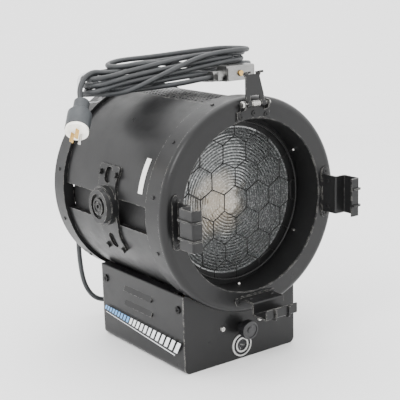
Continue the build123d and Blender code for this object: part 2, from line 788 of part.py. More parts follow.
with BuildPart() as ear_straps:
    # two wires wrap the outside of each ear from the step round to the tab
    for angle in EARS.values():
        for spread in (-STRAP_SPREAD, STRAP_SPREAD):
            with BuildSketch(station(angle).offset(spread - 1.5)):
                wrap = EAR_SHEET / 2 + 1.55
                with BuildLine():
                    FilletPolyline(
                        (EAR_R + 5, EAR_STEP_Y + wrap),
                        (EAR_OUT_R + wrap, EAR_STEP_Y + wrap),
                        (EAR_OUT_R + wrap, EAR_TAB_Y - wrap),
                        (EAR_TAB_R + 2, EAR_TAB_Y - wrap),
                        radius=[3.4, 3.4],
                    )
                trace(line_width=3)
            extrude(amount=3)
save(ear_straps, "ear_straps")

# ---------------------------------------------------------------- top latch
LATCH_PIN_R = 3.0
LATCH_CHEEK_X = 25.0
LATCH_SHEET = 2.5
LEVER_HALF = 18.0
LEVER_LENGTH = 50.0
LEVER_LEAN = 10.0  # degrees back from upright when open
LATCH_RIVETS = ((-25.4, -4.0), (0.0, 0.0), (25.4, -4.0))
LATCH_RIVET_R = 152.0
latch_pin_spot = Vector(0, LATCH_PIN_Y, LATCH_PIN_Z)

with BuildPart() as latch_bracket:
    foot = Plane(
        origin=(0, EAR_FOOT_Y, AXIS_Z + LATCH_RIVET_R), x_dir=(1, 0, 0), z_dir=(0, -1, 0)
    )
    with BuildSketch(foot):
        # plate that follows the opening's edge
        with Locations((0, -LATCH_RIVET_R)):
            Circle(LATCH_RIVET_R + 7)
            Circle(LATCH_RIVET_R - 7, mode=Mode.SUBTRACT)
        with Locations((0, -60)):
            Rectangle(66, 200, mode=Mode.INTERSECT)
        with Locations((0, 0)):
            Rectangle(66, 60, mode=Mode.INTERSECT)
        with Locations((0, 10)):
            Rectangle(2 * LATCH_CHEEK_X, 14)
        with Locations(*LATCH_RIVETS):
            Circle(2.3, mode=Mode.SUBTRACT)
    extrude(amount=LATCH_SHEET)
    # cheeks that carry the hinge pin
    for cheek_x in (-LATCH_CHEEK_X, LATCH_CHEEK_X - LATCH_SHEET):
        with BuildSketch(side_plane(cheek_x, 1)):
            with BuildLine():
                Polyline(
                    (EAR_FOOT_Y, LATCH_PIN_Z - 13),
                    (LATCH_PIN_Y - 4, LATCH_PIN_Z - 8),
                    (LATCH_PIN_Y - 6.5, LATCH_PIN_Z),
                    (LATCH_PIN_Y - 4, LATCH_PIN_Z + 5.5),
                    (LATCH_PIN_Y + 3, LATCH_PIN_Z + 5.5),
                    (EAR_FOOT_Y - LATCH_SHEET, LATCH_PIN_Z - 2),
                    (EAR_FOOT_Y, LATCH_PIN_Z - 2),
                    close=True,
                )
            make_face()
            with Locations((LATCH_PIN_Y, LATCH_PIN_Z)):
                Circle(LATCH_PIN_R, mode=Mode.SUBTRACT)
        extrude(amount=LATCH_SHEET)
save(latch_bracket, "latch_bracket")


def add_rivet(plane):
    """Add one drilled-head rivet through a sheet that lies on the plane."""
    with BuildSketch(plane) as stem:
        Circle(2.2)
    extrude(stem.sketch, amount=EAR_SHEET + 0.1)
    with BuildSketch(plane.offset(EAR_SHEET + 0.1)) as head:
        Circle(4.5)
        Circle(1.2, mode=Mode.SUBTRACT)
    extrude(head.sketch, amount=1.2, taper=25)


with BuildPart() as front_rivets:
    for angle in EARS.values():
        tangent = station(angle).z_dir
        for spread in (-RIVET_SPREAD, RIVET_SPREAD):
            seat = radial(angle) * EAR_RIVET_R + tangent * spread + Vector(0, EAR_FOOT_Y, AXIS_Z)
            add_rivet(Plane(origin=seat, x_dir=tangent, z_dir=(0, -1, 0)))
        for spread in RISER_SCREWS:
            seat = (
                radial(angle) * (EAR_R - EAR_SHEET / 2 - 0.05)
                + tangent * spread
                + Vector(0, RISER_SCREW_Y, AXIS_Z)
            )
            head = Plane(origin=seat, x_dir=(0, 1, 0), z_dir=radial(angle) * -1)
            add_pan_screw(head, 3.2, 1.6, 1.6, 5, cross=False)
    for rivet_x, drop in LATCH_RIVETS:
        seat = (rivet_x, EAR_FOOT_Y, AXIS_Z + LATCH_RIVET_R + drop)
        add_rivet(Plane(origin=seat, x_dir=(1, 0, 0), z_dir=(0, -1, 0)))
save(front_rivets, "front_rivets")

with BuildPart() as latch_pin:
    with BuildSketch(side_plane(-LATCH_CHEEK_X - 3.2, 1)):
        with Locations((LATCH_PIN_Y, LATCH_PIN_Z)):
            Circle(LATCH_PIN_R)
    extrude(amount=2 * LATCH_CHEEK_X + 7)
    with BuildSketch(side_plane(-LATCH_CHEEK_X - 0.1, -1)):
        with Locations((-LATCH_PIN_Y, LATCH_PIN_Z)):
            Circle(5.6)
    extrude(amount=3.2)
    fillet(latch_pin.faces().sort_by(Axis.X)[0].edges(), 1.2)
save(latch_pin, "latch_pin")

with BuildPart() as latch_spring:
    # torsion spring between the lever's knuckles, as one ribbed sleeve
    with BuildSketch(side_plane(-7, 1)):
        with Locations((LATCH_PIN_Y, LATCH_PIN_Z)):
            Circle(4.0)
            Circle(LATCH_PIN_R + 0.1, mode=Mode.SUBTRACT)
    extrude(amount=14)
    for turn in range(7):
        with BuildSketch(side_plane(-6.6 + turn * 2.0, 1)):
            with Locations((LATCH_PIN_Y, LATCH_PIN_Z)):
                Circle(4.9)
                Circle(LATCH_PIN_R + 0.1, mode=Mode.SUBTRACT)
        extrude(amount=1.2)
save(latch_spring, "latch_spring")

# The lever is drawn in its own plane: local x along the pin, local y up the lever.
lever_plane = Plane(
    origin=latch_pin_spot,
    x_dir=(1, 0, 0),
    z_dir=Vector(0, -1, 0).rotate(Axis((0, 0, 0), (1, 0, 0)), -LEVER_LEAN),
)
with BuildPart() as latch_lever:
    with BuildSketch(lever_plane.offset(-1.2)):
        with BuildLine():
            Polyline(
                (-LEVER_HALF, 6.2),
                (-LEVER_HALF, 14),
                (-LEVER_HALF + 4, LEVER_LENGTH - 8),
                (-LEVER_HALF, LEVER_LENGTH - 2),
                (-LEVER_HALF + 3, LEVER_LENGTH),
                (LEVER_HALF - 3, LEVER_LENGTH),
                (LEVER_HALF, LEVER_LENGTH - 2),
                (LEVER_HALF - 4, LEVER_LENGTH - 8),
                (LEVER_HALF, 14),
                (LEVER_HALF, 6.2),
                close=True,
            )
        make_face()
        # window over the spring, and the notch of the fork
        with Locations((0, 8)):
            Rectangle(19, 9, mode=Mode.SUBTRACT)
        with Locations((0, LEVER_LENGTH)):
            Rectangle(16, 8, mode=Mode.SUBTRACT)
    extrude(amount=2.4)
    # knuckles round the pin
    for knuckle_x in (-LEVER_HALF, LEVER_HALF - 8):
        with BuildSketch(side_plane(knuckle_x, 1)):
            with Locations((LATCH_PIN_Y, LATCH_PIN_Z)):
                Circle(4.9)
        extrude(amount=8)
        with BuildSketch(lever_plane.offset(-1.2)):
            with Locations((knuckle_x + 4, 4.5)):
                Rectangle(8, 6)
        extrude(amount=2.4)
    # fork prongs bent forward at the tip
    with BuildSketch(lever_plane.offset(1.1)):
        with Locations((-LEVER_HALF + 5.4, LEVER_LENGTH - 1.4), (LEVER_HALF - 5.4, LEVER_LENGTH - 1.4)):
            Rectangle(6, 2.6)
    extrude(amount=8, taper=-4)
    with BuildSketch(side_plane(-LEVER_HALF - 1, 1)):
        with Locations((LATCH_PIN_Y, LATCH_PIN_Z)):
            Circle(LATCH_PIN_R + RUNNING_FIT)
    extrude(amount=2 * LEVER_HALF + 2, mode=Mode.SUBTRACT)
save(latch_lever, "latch_lever")

# ---------------------------------------------------------------- trunnions
PLATE_HALF_Y = 30.0
PLATE_R = DRUM_R + 4.4
PLATE_TOP = 66.0  # above and below the axis
PLATE_BOTTOM = -78.0
HUB_R = 33.0
TAP_R = 3.4
TAP_DEPTH = 18.0
BOLT_ANGLES = (17.5, -25.5)
BOLT_SPREAD = 23.5

for side, facing in (("left", -1), ("right", 1)):
    with BuildPart() as trunnion:
        with BuildSketch(side_plane(facing * 140, facing)):
            with Locations((facing * TRUNNION_Y, AXIS_Z + (PLATE_TOP + PLATE_BOTTOM) / 2)):
                RectangleRounded(2 * PLATE_HALF_Y, PLATE_TOP - PLATE_BOTTOM, 7)
                # slots in the upper and lower arms
                with Locations((0, 56), (0, -56)):
                    RectangleRounded(20, 26, 8, mode=Mode.SUBTRACT)
                # waists either side of the hub
                with Locations((0, 44), (0, -44)):
                    for edge in (-1, 1):
                        with Locations((edge * (PLATE_HALF_Y + 3), 0)):
                            Ellipse(7, 16, mode=Mode.SUBTRACT)
        extrude(amount=60)
        with BuildSketch(across(TRUNNION_Y + 60)):
            Circle(PLATE_R)
            Circle(DRUM_R + 0.2, mode=Mode.SUBTRACT)
        extrude(amount=120, mode=Mode.INTERSECT)
        # hub: flared boss, turned groove and raised rings
        with BuildSketch(side_plane(facing * 165, facing)):
            with Locations((facing * TRUNNION_Y, AXIS_Z)):
                Circle(HUB_R)
        extrude(amount=TRUNNION_FACE - 165 - 8)
        with BuildSketch(side_plane(facing * (TRUNNION_FACE - 8), facing)):
            with Locations((facing * TRUNNION_Y, AXIS_Z)):
                Circle(HUB_R - 3)
        extrude(amount=8, taper=12)
        with BuildSketch(side_plane(facing * TRUNNION_FACE, facing)):
            with Locations((facing * TRUNNION_Y, AXIS_Z)):
                Circle(21)
                Circle(14.5, mode=Mode.SUBTRACT)
        extrude(amount=-4, mode=Mode.SUBTRACT)
        with BuildSketch(side_plane(facing * TRUNNION_FACE, facing)):
            with Locations((facing * TRUNNION_Y, AXIS_Z)):
                Circle(11)
                Circle(7, mode=Mode.SUBTRACT)
        extrude(amount=-1.2, mode=Mode.SUBTRACT)
        with BuildSketch(side_plane(facing * TRUNNION_FACE, facing)):
            with Locations((facing * TRUNNION_Y, AXIS_Z)):
                Circle(TAP_R)
        extrude(amount=-TAP_DEPTH, mode=Mode.SUBTRACT)
        # the back of the boss follows the drum
        with BuildSketch(across(TRUNNION_Y + 60)):
            Circle(DRUM_R + 0.2)
        extrude(amount=120, mode=Mode.SUBTRACT)
    save(trunnion, f"trunnion_{side}")

with BuildPart() as trunnion_bolts:
    for facing in (-1, 1):
        for bolt_angle in BOLT_ANGLES:
            angle = bolt_angle if facing > 0 else 180 - bolt_angle
            for bolt_y in (TRUNNION_Y - BOLT_SPREAD, TRUNNION_Y + BOLT_SPREAD):
                seat = on_drum(angle, PLATE_R + 0.25, bolt_y)
                with BuildSketch(seat):
                    Circle(5.6)
                extrude(amount=1.0)
                with BuildSketch(seat.offset(1.0)):
                    RegularPolygon(4.8, 6)
                extrude(amount=3.2)
save(trunnion_bolts, "trunnion_bolts")

# ---------------------------------------------------------------- rear cap and rim screws
with BuildPart() as rear_cap:
    with BuildSketch(PROFILE):
        with BuildLine():
            Polyline(
                (DRUM_R - 14, REAR_CAP_FRONT),
                (BAND_R, REAR_CAP_FRONT),
                (BAND_R, REAR_CAP_BACK - 3),
                (BAND_R - 3, REAR_CAP_BACK),
                (0, REAR_CAP_BACK),
                (0, REAR_CAP_BACK - SHEET),
                (BAND_R - 4, REAR_CAP_BACK - SHEET),
                (BAND_R - SHEET, REAR_CAP_BACK - 4),
                (BAND_R - SHEET, REAR_CAP_FRONT + SHEET),
                (DRUM_R - 14, REAR_CAP_FRONT + SHEET),
                close=True,
            )
        make_face()
    revolve(axis=OPTICAL_AXIS)
    # vent slots round the grille opening
    with BuildSketch(across(REAR_CAP_BACK)):
        with PolarLocations(120, 24):
            SlotOverall(62, 7)
        # rings of round holes behind the fan
        for ring in range(1, 8):
            with PolarLocations(10.5 * ring, 6 * ring):
                Circle(3.4)
        Circle(3.4)
    extrude(amount=3, mode=Mode.SUBTRACT)
    drill_rim(CAP_SCREW_Y)
save(rear_cap, "rear_cap")

with BuildPart() as rim_screws:
    for angle in RIM_SCREW_ANGLES:
        for screw_y in (BAND_SCREW_Y, CAP_SCREW_Y):
            add_pan_screw(on_drum(angle, BAND_R + 0.05, screw_y), 3.4, 1.8, 1.5, 4, cross=False)
save(rim_screws, "rim_screws")

# ---------------------------------------------------------------- mains cord
# The metal box of the in-line switch lies between the hank's folds and the front.
BOX_Y = 20.0
BOX_MID_Z = 466.5
BOX_START_X = 84.0
BOX_END_X = 146.0
BOX_HEIGHT = 27.0
BOX_DEPTH = 28.0
BUTTON_X = 112.0

# Route points are the corners of the cord's line, in order, from the gland to the plug.
RISE_ROUTE = [
    (GLAND_X, GLAND_TIP, GLAND_Z),
    (-20, 168, 42),
    (-29, 195, 36),
    (-50, 213, 27),
    (-81, 220, 33),
    (-103, 219, 63),
    (-112, 217, 105),
    (-116, 213, 160),
    (-113, 208, 225),
    (-103, 204, 295),
    (-86, 202, 360),
    (-66, 200, 415),
    (-42, 190, 456),
    (-8, 166, 480),
    (30, 136, 488),
    (68, 107, 489),
]
LEAD_ROUTE = [
    (-36, 44, 456),
    (0, 30, 456),
    (30, 22, 460),
    (58, 20, 462.5),
]
RETURN_ROUTE = [
    (128, BOX_Y + BOX_DEPTH / 2, 463),
    (128, 52, 463),
    (118, 76, 462),
    (92, 90, 461),
]
DROP_ROUTE = [
    (-132, 57, 483),
    (-156, 56, 488),
    (-180, 53, 485),
    (-191, 47, 466),
    (-190, 40, 442),
]


def corner_radii(points):
    """Arc radius at each corner: 0.45 of the shorter run over tan(half the turn)."""
    places = [Vector(*point) for point in points]
    radii = []
    for before, corner, after in zip(places, places[1:], places[2:]):
        run_in = corner - before
        run_out = after - corner
        half_turn = math.radians(run_in.get_angle(run_out) / 2)
        radii.append(0.45 * min(run_in.length, run_out.length) / math.tan(half_turn))
    return radii


for name, route in {
    "cord_rise": RISE_ROUTE,
    "cord_switch_lead": LEAD_ROUTE,
    "cord_switch_return": RETURN_ROUTE,
    "cord_drop": DROP_ROUTE,
}.items():
    radii = corner_radii(route)
    with BuildPart() as cord_tube:
        with BuildLine() as path:
            FilletPolyline(*route, radius=radii)
        centre_line = path.wire()
        with BuildSketch(Plane(origin=centre_line @ 0, z_dir=centre_line % 0)):
            Circle(CORD_R)
        sweep()
    expected = math.pi * CORD_R**2 * centre_line.length
    print(name, "length", round(centre_line.length, 1), "radii", [round(r) for r in radii])
    print("  volume over section times length", round(cord_tube.part.volume / expected, 4))
    save(cord_tube, name)

TIE_EYE_X = -137.0
TIE_Y = 68.0
TIE_WIDTH = 8.0
TIE_THICKNESS = 1.4
# outer shape of the hank: (x, middle y, half width, lowest z, highest z)
HANK_SECTIONS = (
    (-172, 68, 26, 440, 482),
    (-120, 70, 33, 443, 494),
    (-50, 73, 36, 446.5, 503),
    (20, 74, 35, 448, 508),
    (90, 74, 35, 457, 511),
    (150, 70, 34, 464, 509),
    (176, 70, 26, 473, 503),
)
with BuildPart() as cord_hank:
    for x, middle, half_width, low, high in HANK_SECTIONS:
        with BuildSketch(Plane(origin=(x, middle, (low + high) / 2), x_dir=(0, 1, 0), z_dir=(1, 0, 0))):
            RectangleRounded(2 * half_width, high - low, 9)
    loft(ruled=True)
    # the eye of the folds, where the tie passes through
    with BuildSketch(Plane.XY.offset(HANK_SECTIONS[0][3] - 5)):
        with Locations((TIE_EYE_X, TIE_Y)):
            RectangleRounded(9, 13, 2)
    extrude(amount=70, mode=Mode.SUBTRACT)
save(cord_hank, "cord_hank")

with BuildPart() as hank_tie:
    with BuildSketch(across(TIE_Y + TIE_WIDTH / 2, 0)) as tie_band:
        with BuildLine():
            tie_corners = ((TIE_EYE_X, 436), (TIE_EYE_X, 490.5), (-178, 481), (-178, 436))
            FilletPolyline(*tie_corners, radius=5, close=True)
        trace(line_width=TIE_THICKNESS)
    extrude(amount=TIE_WIDTH)
save(hank_tie, "hank_tie")

# plug, pointing down and forward off the left end of the hank
PLUG_DIR = Vector(-0.527, -0.604, -0.598).normalized()
BLADE_ROW = Vector(0.284, -0.787, 0.545)
plug_neck = Plane(origin=Vector(*DROP_ROUTE[-1]), x_dir=BLADE_ROW, z_dir=PLUG_DIR)
PLUG_BODY = 60.0
PLUG_R = 20.0
PLUG_NECK_R = 13.0
PLUG_NECK = 20.0
PLUG_SHOULDER = 27.0
PLUG_FACE = 6.0
BLADE_LENGTH = 19.0
with BuildPart() as plug_body:
    with BuildSketch(plug_neck):
        Circle(PLUG_NECK_R)
    extrude(amount=PLUG_NECK)
    with BuildSketch(plug_neck.offset(PLUG_NECK)):
        Circle(PLUG_NECK_R + 1.5)
    with BuildSketch(plug_neck.offset(PLUG_SHOULDER)):
        Circle(PLUG_R)
    loft(ruled=True)
    with BuildSketch(plug_neck.offset(PLUG_SHOULDER)):
        Circle(PLUG_R)
    extrude(amount=PLUG_BODY - PLUG_SHOULDER)
save(plug_body, "plug_body")

with BuildPart() as plug_face:
    with BuildSketch(plug_neck.offset(PLUG_BODY)):
        Circle(PLUG_R - 1)
    extrude(amount=PLUG_FACE)
save(plug_face, "plug_face")

with BuildPart() as plug_blades:
    with BuildSketch(plug_neck.offset(PLUG_BODY + PLUG_FACE)):
        with Locations((-6.35, 3), (6.35, 3)):
            Rectangle(1.6, 6.6)
        with Locations((0, -8.5)):
            Circle(2.4)
    extrude(amount=BLADE_LENGTH)
save(plug_blades, "plug_blades")

# in-line switch in a metal box
with BuildPart() as switch_box:
    with BuildSketch(side_plane(BOX_START_X, 1)):
        with Locations((BOX_Y, BOX_MID_Z)):
            RectangleRounded(BOX_DEPTH, BOX_HEIGHT, 4)
    extrude(amount=BOX_END_X - BOX_START_X)
    # cover plate on the front, with a hole for the button
    with BuildSketch(across(BOX_Y - BOX_DEPTH / 2 + 0.5, BOX_MID_Z)):
        with Locations(((BOX_START_X + BOX_END_X) / 2, 0)):
            RectangleRounded(BOX_END_X - BOX_START_X - 3, BOX_HEIGHT - 3, 3)
    extrude(amount=2.3)
    with BuildSketch(across(BOX_Y - BOX_DEPTH / 2 + 6.5, BOX_MID_Z)):
        with Locations((BUTTON_X, 0)):
            Circle(5.6)
    extrude(amount=12, mode=Mode.SUBTRACT)
    # two-screw saddle clamp on the cord's entry
    with BuildSketch(side_plane(58, 1)):
        with Locations((BOX_Y, 463.5)):
            RectangleRounded(19, 18, 6)
    extrude(amount=14)
    with BuildSketch(side_plane(72, 1)):
        with Locations((BOX_Y, 464)):
            Circle(8.5)
    extrude(amount=12)
    with BuildSketch(side_plane(62, 1)):
        with Locations((BOX_Y, 463.5)):
            Rectangle(34, 9)
    extrude(amount=7)
    for clamp_y in (BOX_Y - 13, BOX_Y + 13):
        with BuildSketch(Plane.XY.offset(457)):
            with Locations((65.5, clamp_y)):
                Circle(2.6)
        extrude(amount=15)
save(switch_box, "switch_box")

with BuildPart() as switch_button:
    with BuildSketch(across(BOX_Y - BOX_DEPTH / 2 + 2.5, BOX_MID_Z)):
        with Locations((BUTTON_X, 0)):
            Circle(5.2)
    extrude(amount=8)
    fillet(switch_button.faces().sort_by(Axis.Y)[0].edges(), 0.8)
save(switch_button, "switch_button")
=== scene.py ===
import json
import math
import random

import bmesh
import bpy
from mathutils import Matrix, Vector


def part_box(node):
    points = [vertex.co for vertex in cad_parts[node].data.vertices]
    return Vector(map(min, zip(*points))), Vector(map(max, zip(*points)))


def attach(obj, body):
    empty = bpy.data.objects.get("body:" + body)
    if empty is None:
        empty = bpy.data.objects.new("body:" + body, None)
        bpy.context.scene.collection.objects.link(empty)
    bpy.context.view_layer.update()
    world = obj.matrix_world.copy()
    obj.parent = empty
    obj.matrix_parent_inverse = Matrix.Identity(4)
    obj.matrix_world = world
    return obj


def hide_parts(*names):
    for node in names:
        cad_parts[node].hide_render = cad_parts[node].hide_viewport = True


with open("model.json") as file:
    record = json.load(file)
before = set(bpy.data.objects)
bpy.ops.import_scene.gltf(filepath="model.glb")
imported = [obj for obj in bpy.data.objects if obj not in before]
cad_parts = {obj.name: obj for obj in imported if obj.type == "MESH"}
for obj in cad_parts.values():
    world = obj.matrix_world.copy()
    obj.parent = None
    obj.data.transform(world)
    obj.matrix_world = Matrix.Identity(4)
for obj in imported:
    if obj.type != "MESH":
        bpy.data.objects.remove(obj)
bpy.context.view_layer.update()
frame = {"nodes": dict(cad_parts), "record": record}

# Fresnel spotlight head, in metres, in the CAD's frame: the front faces -Y.
AXIS_Z = 0.274
DRUM_R = 0.170
CORD_R = 0.0045
GLAND_TIP = (-0.020, 0.143, 0.042)
# The camera's turn about the vertical; the floor's back wall is square to it.
VIEW_YAW = math.radians(-36.04)
NICKEL = (0.50, 0.49, 0.47)
BRASS = (0.55, 0.36, 0.13)
RNG = random.Random(7)


# ------------------------------------------------------------------ camera
def make_camera():
    """Camera at the viewing angle of the reference."""
    pitch = math.radians(13.56)
    roll = math.radians(-1.59)
    distance = 1.8029
    target = Vector((0.02948, 0.0220, 0.24609))
    back = Vector(
        (
            math.sin(VIEW_YAW) * math.cos(pitch),
            -math.cos(VIEW_YAW) * math.cos(pitch),
            math.sin(pitch),
        )
    )
    level = Vector((0, 0, 1)).cross(back).normalized()
    upright = back.cross(level)
    right = math.cos(roll) * level + math.sin(roll) * upright
    up = back.cross(right)
    data = bpy.data.cameras.new("camera")
    data.sensor_width = 36.0
    data.lens = 90.93
    camera = bpy.data.objects.new("camera", data)
    camera.matrix_world = Matrix.Translation(target + back * distance) @ Matrix(
        (right, up, back)
    ).transposed().to_4x4()
    bpy.context.scene.collection.objects.link(camera)
    bpy.context.scene.camera = camera


make_camera()


# ------------------------------------------------------------------ node helpers
class Shader:
    """A Principled material under construction, with short calls for the nodes used here."""

    def __init__(self, name, colour, roughness, metallic=0.0, **sockets):
        self.material = bpy.data.materials.new(name)
        self.material.use_nodes = True
        self.tree = self.material.node_tree
        self.bsdf = self.tree.nodes["Principled BSDF"]
        self.bsdf.inputs["Base Color"].default_value = (*colour, 1)
        self.bsdf.inputs["Roughness"].default_value = roughness
        self.bsdf.inputs["Metallic"].default_value = metallic
        for socket, value in sockets.items():
            self.bsdf.inputs[socket.replace("_", " ")].default_value = value
        self.place = self.node("ShaderNodeTexCoord").outputs["Object"]

    def node(self, kind, **settings):
        made = self.tree.nodes.new(kind)
        for key, value in settings.items():
            setattr(made, key, value)
        return made

    def link(self, output, target):
        self.tree.links.new(output, target)

    def scaled(self, factors):
        """Object coordinates stretched by three factors."""
        mapping = self.node("ShaderNodeMapping")
        mapping.inputs["Scale"].default_value = factors
        self.link(self.place, mapping.inputs["Vector"])
        return mapping.outputs["Vector"]

    def noise(self, scale, detail=4.0, roughness=0.6, stretch=None):
        made = self.node("ShaderNodeTexNoise")
        made.inputs["Scale"].default_value = scale
        made.inputs["Detail"].default_value = detail
        made.inputs["Roughness"].default_value = roughness
        self.link(self.scaled(stretch) if stretch else self.place, made.inputs["Vector"])
        return made.outputs["Fac"]

    def voronoi(self, scale, feature="F1"):
        made = self.node("ShaderNodeTexVoronoi", feature=feature)
        made.inputs["Scale"].default_value = scale
        self.link(self.place, made.inputs["Vector"])
        return made.outputs["Distance"]

    def ramp(self, value, low, high, start=0.0, end=1.0):
        """Map a value from low..high to start..end, clamped."""
        made = self.node("ShaderNodeMapRange")
        for key, number in zip(("From Min", "From Max", "To Min", "To Max"), (low, high, start, end)):
            made.inputs[key].default_value = number
        self.link(value, made.inputs["Value"])
        return made.outputs["Result"]

    def math(self, operation, first, second=None):
        made = self.node("ShaderNodeMath", operation=operation)
        for socket, value in zip(made.inputs, (first, second)):
            if isinstance(value, (int, float)):
                socket.default_value = value
            elif value is not None:
                self.link(value, socket)
        return made.outputs["Value"]

    def mix(self, factor, first, second):
        """Mix two colours, each a colour or an output."""
        made = self.node("ShaderNodeMix", data_type="RGBA")
        for index, value in ((0, factor), (6, first), (7, second)):
            if isinstance(value, (int, float)):
                made.inputs[index].default_value = value
            elif isinstance(value, tuple):
                made.inputs[index].default_value = (*value, 1)
            else:
                self.link(value, made.inputs[index])
        return made.outputs[2]

    def colour(self, output):
        self.link(output, self.bsdf.inputs["Base Color"])

    def roughness(self, output):
        self.link(output, self.bsdf.inputs["Roughness"])

    def bump(self, height, distance, strength=1.0):
        """Add a bump, on top of any bump that is already there."""
        made = self.node("ShaderNodeBump")
        made.inputs["Distance"].default_value = distance
        made.inputs["Strength"].default_value = strength
        self.link(height, made.inputs["Height"])
        normal = self.bsdf.inputs["Normal"]
        if normal.is_linked:
            self.link(normal.links[0].from_socket, made.inputs["Normal"])
        self.link(made.outputs["Normal"], normal)

    def edges(self, radius):
        """About 1 within radius of a sharp edge, 0 on flat faces."""
        bevel = self.node("ShaderNodeBevel", samples=6)
        bevel.inputs["Radius"].default_value = radius
        geometry = self.node("ShaderNodeNewGeometry")
        dot = self.node("ShaderNodeVectorMath", operation="DOT_PRODUCT")
        self.link(bevel.outputs["Normal"], dot.inputs[0])
        self.link(geometry.outputs["Normal"], dot.inputs[1])
        return self.ramp(dot.outputs["Value"], 0.995, 0.90)

    def axis(self, letter):
        split = self.node("ShaderNodeSeparateXYZ")
        self.link(self.place, split.inputs["Vector"])
        return split.outputs[letter]


def painted_metal(name, colour, roughness, wear=0.0, dust=0.35):
    """Satin black enamel: faint orange peel, smudges, dust and, with wear, rubbed edges."""
    s = Shader(name, colour, roughness, Specular_IOR_Level=0.27)
    smudge = s.ramp(s.noise(9.0, 5.0, 0.65), 0.35, 0.75)
    grime = s.ramp(s.noise(55.0, 6.0, 0.7), 0.45, 0.8)
    dusty = tuple(c + 0.012 * dust for c in colour)
    tone = s.mix(s.math("MULTIPLY", smudge, 0.6), colour, dusty)
    tone = s.mix(s.math("MULTIPLY", grime, 0.3), tone, tuple(c * 0.6 for c in colour))
    specks = s.ramp(s.voronoi(170.0), 0.06, 0.03)
    rare = s.ramp(s.noise(23.0, 2.0), 0.6, 0.7)
    fleck = s.math("MULTIPLY", specks, rare)
    tone = s.mix(s.math("MULTIPLY", fleck, 0.25), tone, (0.16, 0.16, 0.155))
    if wear:
        chips = s.ramp(s.noise(95.0, 5.0, 0.75), 0.60 - 0.12 * wear, 0.64 - 0.12 * wear)
        rubbed = s.math("MULTIPLY", s.edges(0.0011), chips)
        tone = s.mix(rubbed, tone, (0.22, 0.215, 0.20))
    s.colour(tone)
    rough = s.ramp(s.noise(30.0, 6.0, 0.7), 0.3, 0.7, roughness - 0.07, roughness + 0.09)
    s.roughness(rough)
    s.bump(s.noise(620.0, 2.0), 0.00005, 0.5)
    s.bump(s.noise(7.0, 2.0), 0.0006, 0.22)
    return s.material


def plated(name, colour, roughness, scratch=0.5):
    """Bright plated or turned metal with fine scratches and a little tarnish."""
    s = Shader(name, colour, roughness, 1.0)
    tarnish = s.ramp(s.noise(60.0, 5.0, 0.7), 0.4, 0.75)
    s.colour(s.mix(s.math("MULTIPLY", tarnish, 0.5), colour, tuple(c * 0.55 for c in colour)))
    s.roughness(s.ramp(s.noise(140.0, 4.0, 0.7), 0.3, 0.7, roughness * 0.8, roughness * 1.5))
    s.bump(s.noise(500.0, 3.0, 0.6, (1, 8, 1)), 0.00004, scratch)
    return s.material


def moulded(name, colour, roughness, grain=800.0):
    """Moulded plastic or rubber with a fine spark-eroded grain."""
    s = Shader(name, colour, roughness)
    s.colour(s.mix(s.ramp(s.noise(20.0, 5.0, 0.7), 0.35, 0.7), colour, tuple(c * 1.8 for c in colour)))
    s.roughness(s.ramp(s.noise(70.0, 4.0), 0.3, 0.7, roughness - 0.06, roughness + 0.1))
    s.bump(s.voronoi(grain), 0.00006, 0.6)
    return s.material


SLOT_MATERIALS = {
    "black_paint": painted_metal("black_paint", (0.0075, 0.0075, 0.0078), 0.33, wear=1.0),
    "matt_black": painted_metal("matt_black", (0.005, 0.005, 0.0052), 0.48, dust=0.2),
    "black_screw": painted_metal("black_screw", (0.006, 0.006, 0.006), 0.3, dust=0.1),
    "nickel": plated("nickel", NICKEL, 0.22),
    "zinc": plated("zinc", (0.62, 0.63, 0.65), 0.33),
    "brass": plated("brass", BRASS, 0.25),
    "aluminium": plated("aluminium", (0.78, 0.78, 0.80), 0.32),
    "bright_box": plated("bright_box", (0.25, 0.25, 0.245), 0.30, 0.8),
    "black_plastic": moulded("black_plastic", (0.009, 0.009, 0.010), 0.32),
    "circuit_board": moulded("circuit_board", (0.02, 0.11, 0.05), 0.35, 300.0),
    "led": moulded("led", (0.85, 0.72, 0.25), 0.4, 300.0),
    "plug_rubber": moulded("plug_rubber", (0.018, 0.021, 0.0235), 0.5, 500.0),
    "plug_face": moulded("plug_face", (0.78, 0.76, 0.70), 0.4, 500.0),
    "cord_rubber": moulded("cord_rubber", (0.016, 0.0175, 0.019), 0.45, 420.0),
}


def distance(s, x, z):
    """Distance from the point (x, z) as the shader sees it, looking along Y."""
    across = s.math("POWER", s.math("ABSOLUTE", s.math("SUBTRACT", s.axis(0), x)), 2.0)
    up = s.math("POWER", s.math("ABSOLUTE", s.math("SUBTRACT", s.axis(2), z)), 2.0)
    return s.math("SQRT", s.math("ADD", across, up))


def badge_material():
    """Black enamel disc with a silver rim and one plain silver ring, rubbed in places."""
    s = Shader("badge", (0.02, 0.02, 0.022), 0.3, 0.6)
    far = distance(s, 0.0, 0.0245)
    rim = s.ramp(far, 0.0174, 0.0178)
    ring = s.math("MULTIPLY", s.ramp(far, 0.0102, 0.0105), s.ramp(far, 0.0134, 0.0131))
    bright = s.math("MAXIMUM", rim, ring)
    rubbed = s.math("MULTIPLY", s.ramp(s.noise(300.0, 4.0), 0.56, 0.66), 0.5)
    bright = s.math("MAXIMUM", bright, rubbed)
    s.colour(s.mix(bright, (0.018, 0.018, 0.020), (0.46, 0.46, 0.45)))
    s.roughness(s.ramp(s.noise(200.0), 0.3, 0.7, 0.22, 0.4))
    return s.material


